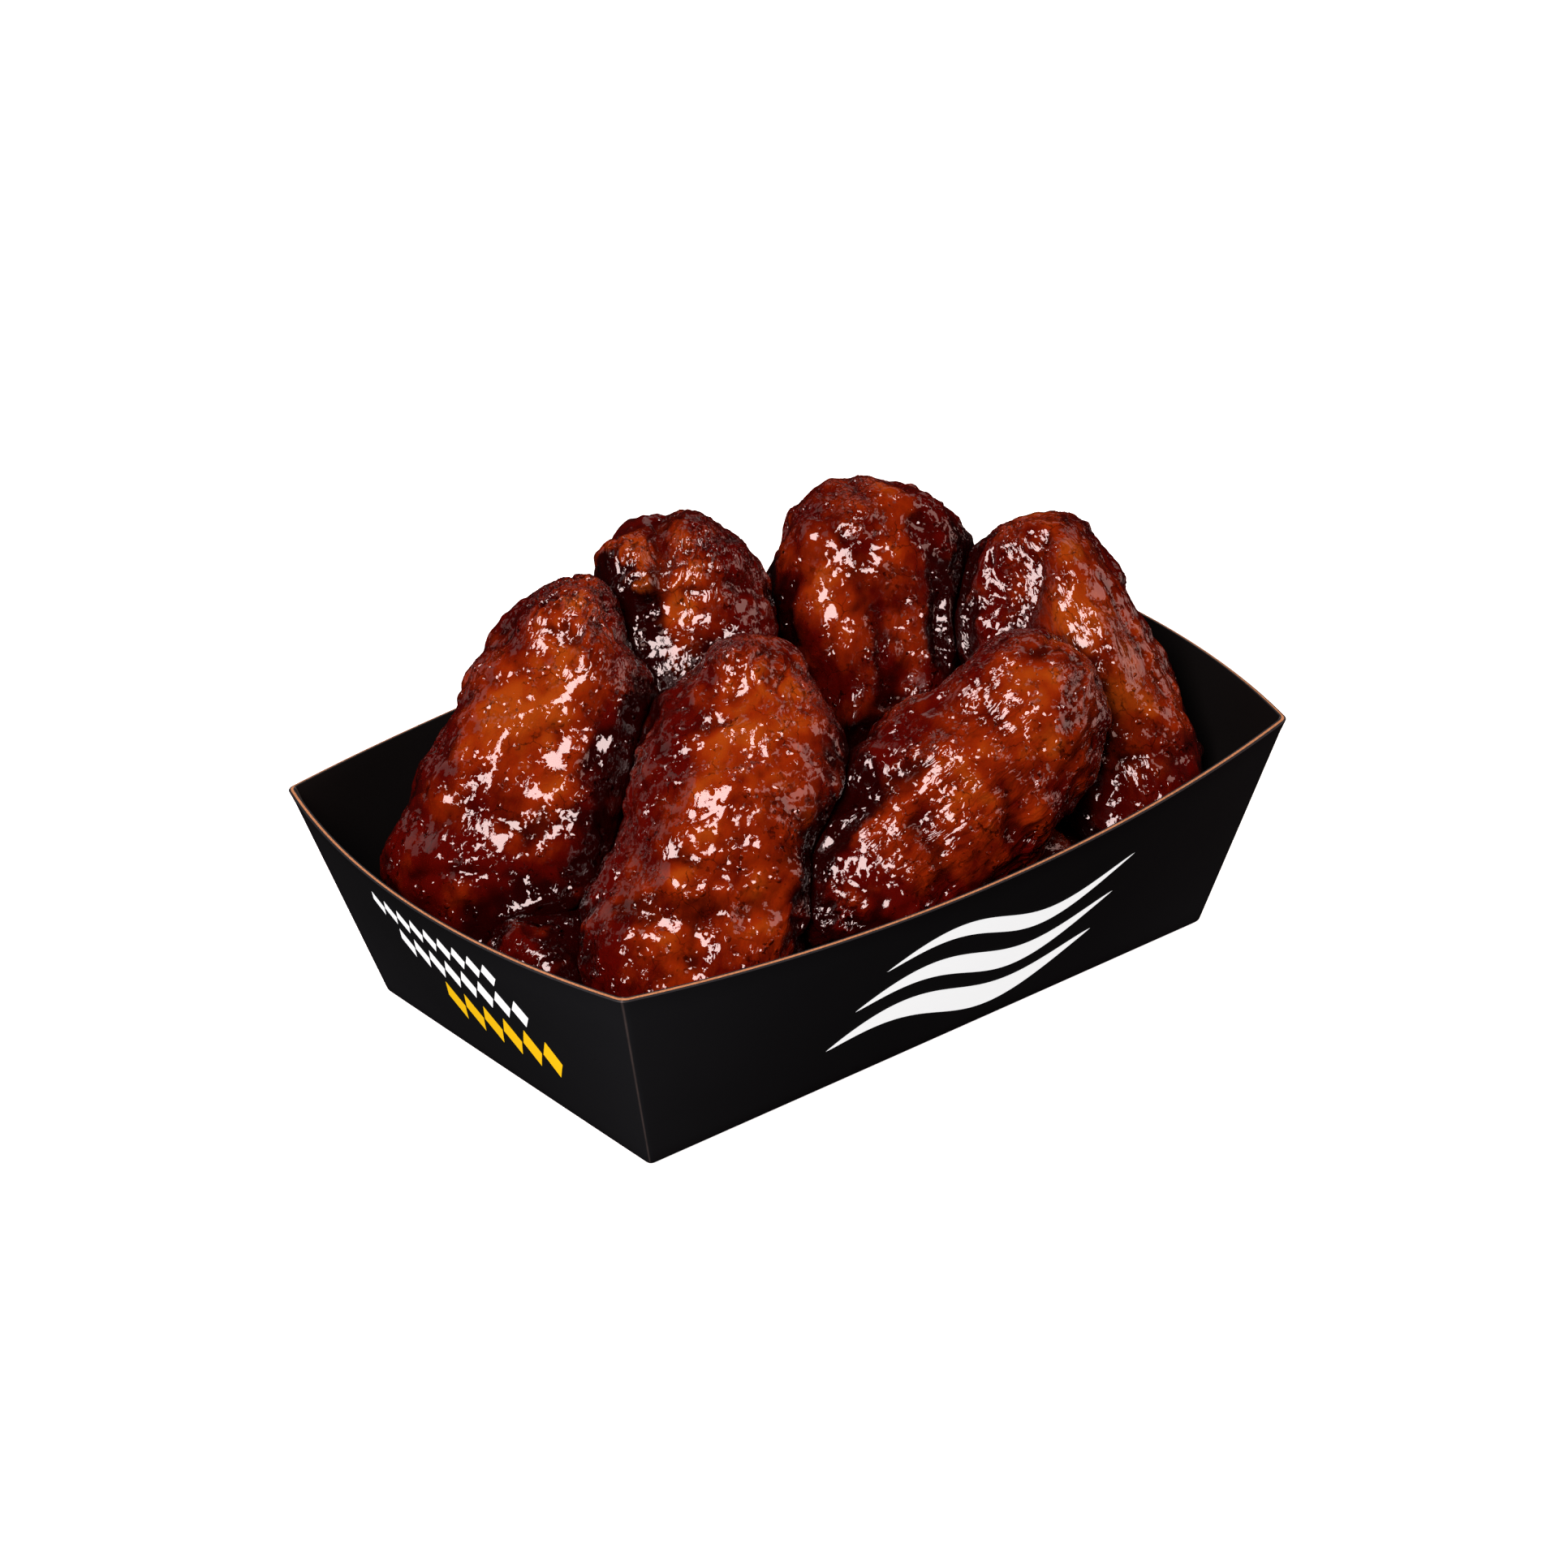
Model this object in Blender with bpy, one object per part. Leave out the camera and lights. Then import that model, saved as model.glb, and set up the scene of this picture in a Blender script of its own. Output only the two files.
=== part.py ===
# Glazed chicken wings heaped in an open tray of folded black board.
#
# The origin is the middle of the tray's underside, X runs along its long side
# and Z points up. The heap is ten wings. Each is first drawn as a free form:
# a curved middle line from its low end to its high end, with a width, a depth
# and some lumps. Then the forms are pressed together: wherever two of them
# would share a space, both give way until a narrow gap is left between them,
# as soft meat does, and in the same way none goes through the board.

import bpy
import numpy as np
from mathutils import Vector, noise
from mathutils.bvhtree import BVHTree

MM = 0.001

# Tray, outside sizes in millimetres
BASE_LENGTH = 150.0
BASE_WIDTH = 92.0
TOP_LENGTH = 178.0
TOP_WIDTH = 115.5
TRAY_HEIGHT = 50.0
LONG_RIM_DIP = 2.3        # how far a long rim sinks below its two corners
SHORT_RIM_DIP = 0.3
LONG_SIDE_BOW = 11.0      # how far the heap pushes a long rim out at its middle
SHORT_SIDE_BOW = 9.4
BOARD = 1.0               # thickness of the board
BOARD_ACROSS = 1.04       # the same, measured level through a slanting panel
CORNER_RADIUS = 1.3       # of the fold between two side panels
CREASE = 0.9              # of the fold between a side panel and the base
SIDE_STEPS = 10           # straight pieces along one panel
CORNER_STEPS = 3
PANEL_LEVELS = (0.33, 0.67)

# Heap
WING_GAP = 1.1            # between two wings that press on each other
BOARD_GAP = 0.8           # between a wing and the board
WING_RINGS = 20
WING_SIDES = 22
END_SHARE = 0.30          # share of the length that each rounded end takes
END_POWER = 2.3           # 2 is an elliptic end, more is blunter
SECTION_POWER = 2.2       # the same for the section
ANCHOR_SHARE = 0.22       # the middle line's ends that a form is never pressed past
UNEVEN_SIZE = 13.0        # size and height of the uneven swellings
UNEVEN_HEIGHT = 2.2
PRESS_STEPS = 12          # halvings used to find where two forms meet

# Each wing runs from its low end over its middle to its high end. Widths and
# depths are whole sizes at even shares of its length, low end first, and its
# two tips are rounded off. The depth lies along the face direction. A lump is
# given by its share of the length, its turn from the face in degrees, how far
# it reaches along and round, and its height as a share of the radius; a groove
# has a negative height.
WINGS = {
    "wing_front_left": dict(
        low=(-71, 22, 5), middle=(-44, 31, 47), high=(-21, 42, 83),
        widths=(44, 48, 43, 36, 22), depths=(32, 38, 36, 32, 24), face=(-0.55, -0.60, 0.60),
        lumps=((0.25, -60, 0.16, 50, 0.10), (0.70, 70, 0.12, 40, 0.12), (0.55, 10, 0.10, 30, -0.05),
               (0.92, -70, 0.05, 45, 0.06), (0.12, 20, 0.06, 40, -0.08), (0.36, 95, 0.16, 35, -0.14),
               (0.80, -60, 0.05, 50, -0.06), (0.42, -85, 0.16, 40, 0.11))),
    "wing_front_middle": dict(
        low=(-55, -24, 6), middle=(-25, -8, 42), high=(-1, 8, 75),
        widths=(46, 47, 45, 40, 30), depths=(32, 38, 38, 34, 26), face=(-0.55, -0.65, 0.50),
        lumps=((0.16, -75, 0.10, 40, 0.14), (0.72, 75, 0.14, 45, 0.12), (0.45, 0, 0.10, 30, 0.06),
               (0.84, -30, 0.05, 60, -0.07), (0.55, 85, 0.06, 30, 0.07), (0.52, -95, 0.14, 35, -0.09))),
    "wing_front_right": dict(
        low=(-23, -26, 25), middle=(17, -29, 43), high=(54, -30, 68),
        widths=(30, 39, 43, 40, 35), depths=(30, 36, 34), face=(-0.30, -0.60, 0.75),
        lumps=((0.15, -30, 0.10, 50, 0.10), (0.70, -95, 0.12, 45, -0.14), (0.55, -20, 0.14, 25, 0.09),
               (0.32, -35, 0.06, 50, -0.10), (0.70, 35, 0.10, 20, -0.08))),
    "wing_back_left": dict(
        low=(-15, 19, 9), middle=(-4, 33, 52), high=(4, 45, 88),
        widths=(38, 40, 40, 38, 34), depths=(32, 36, 30), face=(-0.45, -0.75, 0.45),
        lumps=((0.93, -70, 0.06, 35, 0.26), (0.94, 45, 0.06, 35, 0.26), (0.95, -10, 0.06, 20, -0.24),
               (0.74, -10, 0.05, 60, -0.10), (0.70, 75, 0.16, 40, 0.16))),
    "wing_back_middle": dict(
        low=(32, 14, 5), middle=(40, 22, 46), high=(50, 32, 86),
        widths=(26, 31, 39, 41, 38), depths=(32, 40, 40), face=(-0.50, -0.75, 0.30),
        lumps=((0.36, 14, 0.24, 14, -0.18), (0.32, 48, 0.20, 20, 0.10), (0.45, -22, 0.16, 22, 0.06),
               (0.70, 25, 0.10, 18, -0.08), (0.80, -50, 0.12, 45, 0.06),
               (0.86, 105, 0.09, 35, 0.26), (0.97, 60, 0.03, 50, 0.24), (0.68, -90, 0.13, 40, 0.18),
               (0.93, -80, 0.07, 45, 0.22))),
    "wing_right": dict(
        low=(70, -42, 10), middle=(70, -14, 46), high=(73, 13, 75),
        widths=(30, 35, 40, 42, 36), depths=(30, 36, 36), face=(-0.45, -0.45, 0.70),
        lumps=((0.66, -28, 0.20, 15, -0.20), (0.65, 15, 0.28, 20, 0.14), (0.15, 0, 0.10, 50, 0.12),
               (0.30, 10, 0.05, 60, -0.06), (0.70, -70, 0.14, 30, 0.08),
               (0.72, 80, 0.20, 35, -0.24), (0.93, 30, 0.05, 50, 0.12))),
    "wing_low_left": dict(
        low=(-76, 2, 17), middle=(-52, 6, 17), high=(-14, 8, 19),
        widths=(26, 28, 30), depths=(28, 28, 26), face=(-0.20, 0.00, 1.00),
        lumps=((0.15, 0, 0.12, 60, 0.08),)),
    "wing_low_front": dict(
        low=(-20, -36, 20), middle=(18, -31, 17), high=(56, -28, 16),
        widths=(30, 34, 32), depths=(28, 28, 26), face=(0.00, -0.20, 1.00),
        lumps=((0.12, 0, 0.12, 60, 0.08),)),
    "wing_low_middle": dict(
        low=(-14, -2, 23), middle=(22, -4, 22), high=(62, 2, 27),
        widths=(34, 38, 40, 38, 32), depths=(36, 40, 36), face=(0.00, -0.10, 1.00),
        lumps=((0.15, 40, 0.10, 50, 0.10), (0.85, -40, 0.10, 50, 0.10), (0.50, 10, 0.15, 30, -0.05))),
    "wing_low_back": dict(
        low=(-6, 46, 21), middle=(38, 47, 22), high=(76, 31, 24),
        widths=(34, 42, 36), depths=(32, 38, 32), face=(0.00, 0.30, 1.00),
        lumps=((0.80, 60, 0.15, 60, 0.08), (0.12, -50, 0.08, 40, 0.12), (0.10, 40, 0.08, 40, 0.12),
               (0.22, 0, 0.06, 90, -0.07))),
}


def clear_scene():
    for thing in list(bpy.data.objects):
        bpy.data.objects.remove(thing, do_unlink=True)


def board_material():
    """Black board with a soft sheen."""
    return plain_material("tray_board", (0.010, 0.010, 0.012), roughness=0.42)


def glaze_material(index):
    """Dark red-brown glaze, a little different on each wing."""
    warmth = 0.006 * (index % 3)
    color = (0.150 + warmth, 0.022 + 0.4 * warmth, 0.006)
    return plain_material(f"wing_glaze_{index}", color, roughness=0.18)


def plain_material(name, color, roughness):
    material = bpy.data.materials.new(name)
    material.use_nodes = True
    shader = material.node_tree.nodes["Principled BSDF"]
    shader.inputs["Base Color"].default_value = (*color, 1.0)
    shader.inputs["Roughness"].default_value = roughness
    shader.inputs["Metallic"].default_value = 0.0
    return material


def add_object(name, points, faces, material):
    """An object from points in millimetres."""
    mesh = bpy.data.meshes.new(name)
    mesh.from_pydata([tuple(MM * value for value in point) for point in points], [], faces)
    mesh.materials.append(material)
    mesh.shade_smooth()
    thing = bpy.data.objects.new(name, mesh)
    bpy.context.collection.objects.link(thing)
    return thing


def panel_point(turn, along, share, inset, level):
    """A point of side panel 0 to 3: front, right, back, left.

    along runs from -1 to 1 between the panel's corners, left to right as seen
    from outside, and share from 0 at the base to 1 at the rim.
    """
    is_long = turn % 2 == 0
    base_half = (BASE_LENGTH if is_long else BASE_WIDTH) / 2
    top_half = (TOP_LENGTH if is_long else TOP_WIDTH) / 2
    base_out = (BASE_WIDTH if is_long else BASE_LENGTH) / 2
    top_out = (TOP_WIDTH if is_long else TOP_LENGTH) / 2
    dip = LONG_RIM_DIP if is_long else SHORT_RIM_DIP
    bow = LONG_SIDE_BOW if is_long else SHORT_SIDE_BOW
    belly = 1 - along ** 2
    height = share * (TRAY_HEIGHT - dip * belly)
    rise = height / TRAY_HEIGHT
    sideways = along * (base_half + (top_half - base_half) * rise - inset)
    outwards = base_out + (top_out - base_out) * rise + bow * belly * rise - inset
    places = ((sideways, -outwards), (outwards, sideways), (-sideways, outwards), (-outwards, -sideways))
    x, y = places[turn]
    return np.array([x, y, height if level is None else level])


def tray_ring(share, inset=0.0, level=None):
    """The outline of all four panels at one share of their height, once round."""
    ring = []
    for turn in range(4):
        half = (BASE_LENGTH if turn % 2 == 0 else BASE_WIDTH) / 2
        straight = 1 - CORNER_RADIUS / half
        for along in np.linspace(-straight, straight, SIDE_STEPS + 1):
            ring.append(panel_point(turn, along, share, inset, level))
        next_half = (BASE_WIDTH if turn % 2 == 0 else BASE_LENGTH) / 2
        start = ring[-1]
        corner = panel_point(turn, 1.0, share, inset, level)
        end = panel_point((turn + 1) % 4, CORNER_RADIUS / next_half - 1, share, inset, level)
        for part in np.arange(1, CORNER_STEPS) / CORNER_STEPS:
            ring.append((1 - part) ** 2 * start + 2 * part * (1 - part) * corner + part ** 2 * end)
    return ring


def build_tray():
    """One folded sheet: base, four bowed panels and the level cut edge round the top."""
    rings = [tray_ring(0.0, inset=CREASE), tray_ring(CREASE / TRAY_HEIGHT)]
    rings += [tray_ring(share) for share in (*PANEL_LEVELS, 1.0)]
    rings += [tray_ring(share, inset=BOARD_ACROSS) for share in (1.0, *reversed(PANEL_LEVELS))]
    rings += [tray_ring(BOARD / TRAY_HEIGHT, inset=BOARD_ACROSS, level=BOARD)]
    count = len(rings[0])
    faces = [tuple(reversed(range(count)))]
    for row in range(len(rings) - 1):
        for step in range(count):
            after = (step + 1) % count
            faces.append((row * count + step, row * count + after,
                          (row + 1) * count + after, (row + 1) * count + step))
    last = (len(rings) - 1) * count
    faces.append(tuple(range(last, last + count)))
    return add_object("tray", [point for ring in rings for point in ring], faces, board_material())


def room_in_tray(point):
    """How far a point is from the inside of the board; past the rim nothing is near."""
    x, y, z = point
    if z > TRAY_HEIGHT:
        return 99.0
    rise = max(z, 0.0) / TRAY_HEIGHT
    half_length = BASE_LENGTH / 2 + (TOP_LENGTH - BASE_LENGTH) / 2 * rise
    half_width = BASE_WIDTH / 2 + (TOP_WIDTH - BASE_WIDTH) / 2 * rise
    front = half_width + LONG_SIDE_BOW * (1 - min(abs(x) / half_length, 1.0) ** 2) * rise
    side = half_length + SHORT_SIDE_BOW * (1 - min(abs(y) / half_width, 1.0) ** 2) * rise
    return min(front - BOARD_ACROSS - abs(y), side - BOARD_ACROSS - abs(x), z - BOARD)


def through_three(values, t):
    """The smooth curve through a low, a middle and a high value."""
    low, middle, high = (np.asarray(value, float) for value in values)
    return low * (1 - t) * (1 - 2 * t) + middle * 4 * t * (1 - t) + high * t * (2 * t - 1)


def through_stations(values, t):
    """The smooth curve through any number of evenly spaced values."""
    place = min(max(t, 0.0), 1.0) * (len(values) - 1)
    start = min(int(place), len(values) - 2)
    part = place - start
    places = [min(max(start + step, 0), len(values) - 1) for step in (-1, 0, 1, 2)]
    before, here, there, after = (values[place] for place in places)
    slope_here, slope_there = (there - before) / 2, (after - here) / 2
    bend = 3 * (there - here) - 2 * slope_here - slope_there
    twist = 2 * (here - there) + slope_here + slope_there
    return here + part * (slope_here + part * (bend + part * twist))


def end_rounding(t):
    """1 along the middle of a wing and falling to 0 at both tips."""
    from_tip = min(t, 1 - t) / END_SHARE
    return (1 - (1 - min(from_tip, 1.0)) ** END_POWER) ** (1 / END_POWER)


def wing_frame(wing, t):
    """Centre, side direction and face direction of a wing at one share of its length."""
    line = (wing["low"], wing["middle"], wing["high"])
    centre = through_three(line, t)
    ahead = through_three(line, t + 0.01) - through_three(line, t - 0.01)
    ahead /= np.linalg.norm(ahead)
    face = np.array(wing["face"], float)
    face -= ahead * face.dot(ahead)
    face /= np.linalg.norm(face)
    return centre, np.cross(ahead, face), face


def lump_factor(wing, t, turn):
    """1 and the wing's own lumps and grooves; the turn from the face is in degrees."""
    factor = 1.0
    for place, round_place, reach, round_reach, height in wing["lumps"]:
        away = (turn - round_place + 180) % 360 - 180
        factor += height * np.exp(-((t - place) / reach) ** 2 - (away / round_reach) ** 2)
    return factor


def free_form(wing, seed):
    """Surface points of a wing before pressing, with the inner anchor that each is pressed towards."""
    points, anchors = [], []
    sweep = np.pi * np.arange(WING_RINGS + 1) / WING_RINGS
    for t in (1 - np.cos(sweep)) / 2:
        centre, side, face = wing_frame(wing, t)
        anchor = wing_frame(wing, min(max(t, ANCHOR_SHARE), 1 - ANCHOR_SHARE))[0]
        half_width = through_stations(wing["widths"], t) / 2 * end_rounding(t)
        half_depth = through_stations(wing["depths"], t) / 2 * end_rounding(t)
        is_tip = half_width < 0.01
        for step in range(1 if is_tip else WING_SIDES):
            angle = 2 * np.pi * step / WING_SIDES
            across, out = np.sin(angle), np.cos(angle)
            norm = (abs(across) ** SECTION_POWER + abs(out) ** SECTION_POWER) ** (1 / SECTION_POWER)
            factor = lump_factor(wing, t, np.degrees(angle)) / norm
            point = centre + factor * (half_width * across * side + half_depth * out * face)
            if not is_tip:
                away = (point - centre) / np.linalg.norm(point - centre)
                swell = noise.noise(Vector(point / UNEVEN_SIZE) + Vector((7.3 * seed, 0, 0)))
                point += away * UNEVEN_HEIGHT * end_rounding(t) * swell
            points.append(point)
            anchors.append(anchor)
    return np.array(points), np.array(anchors)


def wing_faces():
    """A fan at each tip and bands of quads between."""
    faces = []
    last = 1 + (WING_RINGS - 1) * WING_SIDES
    for step in range(WING_SIDES):
        after = (step + 1) % WING_SIDES
        faces.append((0, 1 + after, 1 + step))
        for row in range(WING_RINGS - 2):
            near, far = 1 + row * WING_SIDES, 1 + (row + 1) * WING_SIDES
            faces.append((near + step, near + after, far + after, far + step))
        faces.append((last, last - WING_SIDES + step, last - WING_SIDES + after))
    return faces


def signed_distance(tree, point):
    """Distance to a closed form, negative inside it."""
    nearest, normal, _, distance = tree.find_nearest(point)
    return distance if (point - nearest).dot(normal) > 0 else -distance


def press_together(forms, faces):
    """Pull each point towards its anchor until its wing keeps to its own side."""
    trees = [BVHTree.FromPolygons([tuple(p) for p in points], faces) for points, _ in forms]
    boxes = [(points.min(0) - WING_GAP, points.max(0) + WING_GAP) for points, _ in forms]
    pressed = []
    for index, (points, anchors) in enumerate(forms):
        low, high = boxes[index]
        near = [tree for other, tree in enumerate(trees) if other != index
                and np.all(boxes[other][0] < high) and np.all(boxes[other][1] > low)]

        def fits(place):
            if room_in_tray(place) < BOARD_GAP:
                return False
            spot = Vector(place)
            own = signed_distance(trees[index], spot)
            return all(signed_distance(tree, spot) - own >= WING_GAP for tree in near)

        moved = []
        for point, anchor in zip(points, anchors):
            kept, tried = (1.0, 1.0) if fits(point) else (0.0, 1.0)
            while kept < 1.0 and tried - kept > 0.5 ** PRESS_STEPS:
                middle = (kept + tried) / 2
                if fits(anchor + middle * (point - anchor)):
                    kept = middle
                else:
                    tried = middle
            moved.append(anchor + kept * (point - anchor))
        pressed.append(np.array(moved))
    return pressed


def build_wings():
    faces = wing_faces()
    forms = [free_form(wing, seed) for seed, wing in enumerate(WINGS.values())]
    for index, (name, points) in enumerate(zip(WINGS, press_together(forms, faces))):
        add_object(name, points, faces, glaze_material(index))


clear_scene()
build_tray()
build_wings()
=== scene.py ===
# %% [markdown]
# A tray of glazed chicken wings
#
# Ten wings lie heaped in a tray of folded black board. They were roasted, and then
# tossed in a thick dark glaze that still shines. The solids of the wings and of the
# tray are given. This lesson dresses them: it grows a wrinkled, pebbled skin over each
# wing, gives the skin its glaze, and folds a fine tray round them.

# %% Load the frame
import math

import bpy
import bmesh
import numpy as np
from mathutils import Matrix, Vector, noise
from mathutils.bvhtree import BVHTree


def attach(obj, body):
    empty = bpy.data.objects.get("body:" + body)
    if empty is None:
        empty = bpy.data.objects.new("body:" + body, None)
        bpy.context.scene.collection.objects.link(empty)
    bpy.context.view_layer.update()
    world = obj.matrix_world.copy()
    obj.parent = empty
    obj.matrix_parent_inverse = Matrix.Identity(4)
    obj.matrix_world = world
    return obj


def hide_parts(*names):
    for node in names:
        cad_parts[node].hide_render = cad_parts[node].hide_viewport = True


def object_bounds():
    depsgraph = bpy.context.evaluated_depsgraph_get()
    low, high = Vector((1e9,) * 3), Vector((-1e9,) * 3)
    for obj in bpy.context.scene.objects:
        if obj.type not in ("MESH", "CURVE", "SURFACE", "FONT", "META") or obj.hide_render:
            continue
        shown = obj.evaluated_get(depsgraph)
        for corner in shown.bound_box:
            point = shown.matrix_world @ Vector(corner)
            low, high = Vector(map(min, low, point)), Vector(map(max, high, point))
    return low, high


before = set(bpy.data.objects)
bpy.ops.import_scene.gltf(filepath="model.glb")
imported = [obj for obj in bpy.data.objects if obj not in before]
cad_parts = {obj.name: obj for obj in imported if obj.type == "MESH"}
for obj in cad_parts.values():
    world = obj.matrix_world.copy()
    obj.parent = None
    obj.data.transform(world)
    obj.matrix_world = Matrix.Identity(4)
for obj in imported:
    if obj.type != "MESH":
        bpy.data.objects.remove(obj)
cad_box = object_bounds()
MM = 0.001
WINGS = sorted(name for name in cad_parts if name.startswith("wing_"))
print("wings:", len(WINGS))
print("size in mm:", [round(value / MM, 1) for value in cad_box[1] - cad_box[0]])

# %% [markdown]
# The camera
#
# The picture was taken with a long lens from a little above the table, so that the
# tray's sides hardly converge. A camera could be placed by eye. Here it is set from
# plain numbers: the two angles that it looks from, a slight roll, its distance, its lens
# and the point it aims at. They were found by fitting the tray's rim and folds.


# %% Turning towards something
def direction(azimuth, height):
    """The unit vector from the tray towards something seen at two angles."""
    level = math.cos(height)
    return Vector((-math.sin(azimuth) * level, -math.cos(azimuth) * level, math.sin(height)))


def turned_frame(back, roll=0.0):
    """A rotation whose Z axis is back and whose Y axis is as upright as it can be."""
    right = Vector((0, 0, 1)).cross(back).normalized()
    up = back.cross(right)
    rolled_right = math.cos(roll) * right + math.sin(roll) * up
    rolled_up = math.cos(roll) * up - math.sin(roll) * right
    return Matrix((rolled_right, rolled_up, back)).transposed().to_4x4()


print("straight in front is", list(direction(0.0, 0.0)))

# %% Camera
CAMERA_AZIMUTH = math.radians(37.887)
CAMERA_HEIGHT = math.radians(29.098)
CAMERA_ROLL = math.radians(-1.601)
CAMERA_DISTANCE = 1393.1 * MM
CAMERA_AIM = Vector((9.8, 15.1, 32.3)) * MM
SENSOR_WIDTH = 36.0
LENS = 149.07
camera_data = bpy.data.cameras.new("camera")
camera_data.lens = LENS
camera_data.sensor_width = SENSOR_WIDTH
camera = bpy.data.objects.new("camera", camera_data)
bpy.context.collection.objects.link(camera)
camera_back = direction(CAMERA_AZIMUTH, CAMERA_HEIGHT)
camera.matrix_world = (Matrix.Translation(CAMERA_AIM + camera_back * CAMERA_DISTANCE)
                       @ turned_frame(camera_back, CAMERA_ROLL))
bpy.context.scene.camera = camera
print("camera at", [round(value, 3) for value in camera.matrix_world.translation])

# %% [markdown]
# The light
#
# A glaze shows its lamps more than its colour. Each bright patch on the wings is the
# reflection of one large soft box, high up and a little to the left of the camera. Dim
# panels at the right, low down at the right and at the left draw the dull mauve sheen on
# the flanks, and a strip behind lifts the tops off the background. The far side of the
# heap would be black without two more lamps. They are left out of the reflections, so
# that the front keeps its contrast. The rest of the room stays nearly dark.

# %% Lamps
LAMPS = {
    # name: turn left of the camera, height, distance, size, watts, colour
    "key_box": (20, 43, 1.10, (0.66, 0.62), 32.5, (1.00, 0.775, 0.755)),
    "right_panel": (-84, 32, 1.00, (0.46, 0.50), 3.2, (1.00, 0.60, 0.53)),
    "low_panel": (-108, 3, 1.00, (0.66, 0.38), 1.9, (1.00, 0.62, 0.56)),
    "left_panel": (112, 30, 1.00, (0.60, 0.60), 0.9, (1.00, 0.76, 0.72)),
    "back_strip": (-165, 40, 1.00, (1.00, 0.30), 0.9, (1.00, 0.88, 0.84)),
    "back_fill": (180, 22, 1.20, (1.30, 0.80), 13.0, (1.00, 0.86, 0.80)),
    "far_side_fill": (-130, 22, 1.20, (0.90, 0.80), 6.0, (1.00, 0.86, 0.80)),
}
for name, (turn, height, distance, size, watts, lamp_color) in LAMPS.items():
    lamp_data = bpy.data.lights.new(name, "AREA")
    lamp_data.shape = "RECTANGLE"
    lamp_data.size, lamp_data.size_y = size
    lamp_data.energy = watts
    lamp_data.color = lamp_color
    lamp = bpy.data.objects.new(name, lamp_data)
    lamp.visible_glossy = not name.endswith("fill")
    bpy.context.collection.objects.link(lamp)
    towards = direction(CAMERA_AZIMUTH + math.radians(turn), math.radians(height))
    lamp.matrix_world = Matrix.Translation(CAMERA_AIM + towards * distance) @ turned_frame(towards)
print("lamps:", ", ".join(LAMPS))

# %% The dim room
ROOM_COLOR = (1.0, 0.98, 0.97, 1.0)
ROOM_LIGHT = 0.006
world = bpy.data.worlds.new("dim_room")
world.use_nodes = True
background = world.node_tree.nodes["Background"]
background.inputs["Color"].default_value = ROOM_COLOR
background.inputs["Strength"].default_value = ROOM_LIGHT
bpy.context.scene.world = world
bpy.context.scene.view_settings.view_transform = "Standard"
print("room light", ROOM_LIGHT)

# %% [markdown]
# Writing shaders as sums
#
# A node tree is easier to read when it is written as a sum. The class below holds one
# output socket. Adding, taking away or multiplying two of them adds the Math node that
# does it, and every other kind of node comes from its one method, node. Colours and
# vectors go through Mix and Vector Math nodes, because a Math node would turn them grey.

# %% A socket that can be used in a sum
GREY = (0.5, 0.5, 0.5)    # the middle of a random colour


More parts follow.
